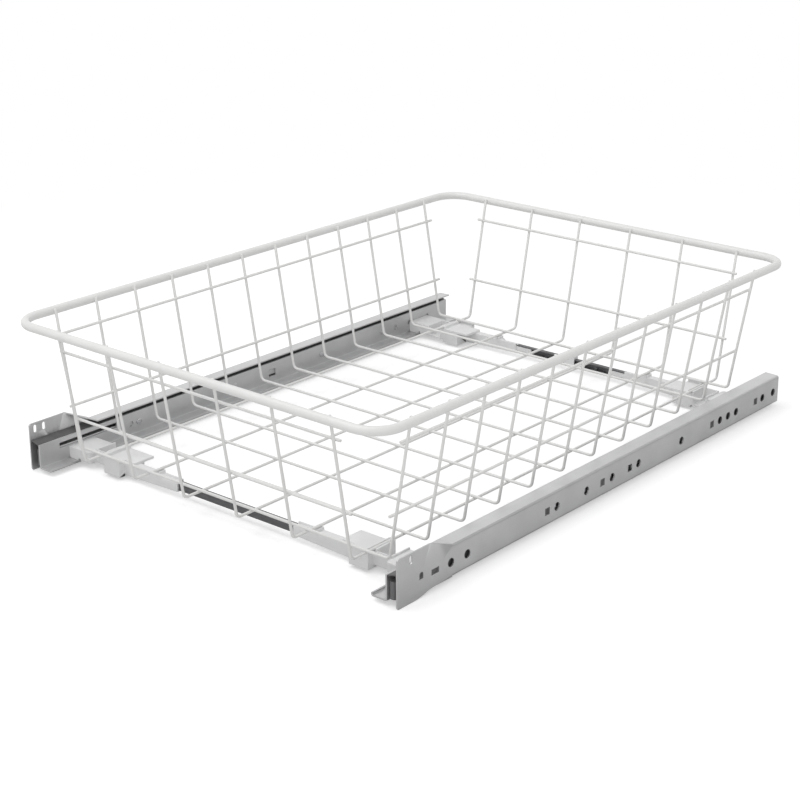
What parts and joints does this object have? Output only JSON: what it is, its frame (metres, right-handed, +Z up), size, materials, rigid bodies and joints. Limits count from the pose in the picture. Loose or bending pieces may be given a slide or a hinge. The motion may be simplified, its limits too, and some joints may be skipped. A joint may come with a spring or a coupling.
{
  "type": "pull-out cabinet basket",
  "caption": "Wire basket on full-extension ball runners that pulls out of a kitchen cabinet, carried by cross bars with moulded brackets.",
  "frame": {"origin": "under the middle of the basket's rim, on the surface that the runners stand on", "axes": "+X to the right across the cabinet, +Y into the cabinet, +Z up; the basket pulls out along -Y"},
  "size_m": [0.414, 0.5816, 0.1417],
  "materials": {
    "white_coat": "smooth white coating",
    "runner_zinc": "satin zinc",
    "cage_steel": "bright zinc",
    "ball_steel": "polished",
    "dark_bar": "satin dark grey",
    "grey_plastic": "light grey moulding",
    "white_plastic": "white moulding"
  },
  "bodies": {
    "cabinet_members": {"cabinet_plate_right": "runner_zinc", "roof_rail_right": "runner_zinc", "outer_rail_right": "runner_zinc", "cabinet_plate_left": "runner_zinc", "roof_rail_left": "runner_zinc", "outer_rail_left": "runner_zinc"},
    "carriage": {"drawer_member_right": "runner_zinc", "inner_rail_right": "runner_zinc", "rail_rivets_right": "cage_steel", "front_bumper_right": "white_plastic", "front_bracket_right": "grey_plastic", "rear_bracket_right": "grey_plastic", "drawer_member_left": "runner_zinc", "inner_rail_left": "runner_zinc", "rail_rivets_left": "cage_steel", "front_bumper_left": "white_plastic", "front_bracket_left": "grey_plastic", "rear_bracket_left": "grey_plastic", "bracket_screws": "cage_steel", "front_bar": "dark_bar", "rear_bar": "dark_bar", "wire_clip": "white_plastic"},
    "basket": {"rim": "white_coat", "cross_wires": "white_coat", "long_wires": "white_coat", "side_bands": "white_coat", "end_bands": "white_coat"},
    "middle_rail_right": {"middle_rail_right": "runner_zinc"},
    "outer_cage_right": {"outer_cage_right": "cage_steel", "outer_balls_right": "ball_steel"},
    "inner_cage_right": {"inner_cage_right": "cage_steel", "inner_balls_right": "ball_steel"},
    "middle_rail_left": {"middle_rail_left": "runner_zinc"},
    "outer_cage_left": {"outer_cage_left": "cage_steel", "outer_balls_left": "ball_steel"},
    "inner_cage_left": {"inner_cage_left": "cage_steel", "inner_balls_left": "ball_steel"}
  },
  "joints": [
    {"name": "drawer_slide", "type": "slide", "parent": "cabinet_members", "child": "carriage", "axis": [0, -1, 0], "range_m": [0, 0.54]},
    {"name": "basket_lift", "type": "slide", "parent": "carriage", "child": "basket", "axis": [0, 0, 1], "range_m": [0, 0.05]},
    {"name": "middle_rail_right_slide", "type": "slide", "parent": "cabinet_members", "child": "middle_rail_right", "axis": [0, -1, 0], "range_m": [0, 0.27]},
    {"name": "outer_cage_right_slide", "type": "slide", "parent": "cabinet_members", "child": "outer_cage_right", "axis": [0, -1, 0], "range_m": [0, 0.135]},
    {"name": "inner_cage_right_slide", "type": "slide", "parent": "cabinet_members", "child": "inner_cage_right", "axis": [0, -1, 0], "range_m": [0, 0.405]},
    {"name": "middle_rail_left_slide", "type": "slide", "parent": "cabinet_members", "child": "middle_rail_left", "axis": [0, -1, 0], "range_m": [0, 0.27]},
    {"name": "outer_cage_left_slide", "type": "slide", "parent": "cabinet_members", "child": "outer_cage_left", "axis": [0, -1, 0], "range_m": [0, 0.135]},
    {"name": "inner_cage_left_slide", "type": "slide", "parent": "cabinet_members", "child": "inner_cage_left", "axis": [0, -1, 0], "range_m": [0, 0.405]}
  ],
  "couplings": [
    {"joint": "middle_rail_right_slide", "follows": "drawer_slide", "ratio": 0.5},
    {"joint": "outer_cage_right_slide", "follows": "drawer_slide", "ratio": 0.25},
    {"joint": "inner_cage_right_slide", "follows": "drawer_slide", "ratio": 0.75},
    {"joint": "middle_rail_left_slide", "follows": "drawer_slide", "ratio": 0.5},
    {"joint": "outer_cage_left_slide", "follows": "drawer_slide", "ratio": 0.25},
    {"joint": "inner_cage_left_slide", "follows": "drawer_slide", "ratio": 0.75}
  ]
}
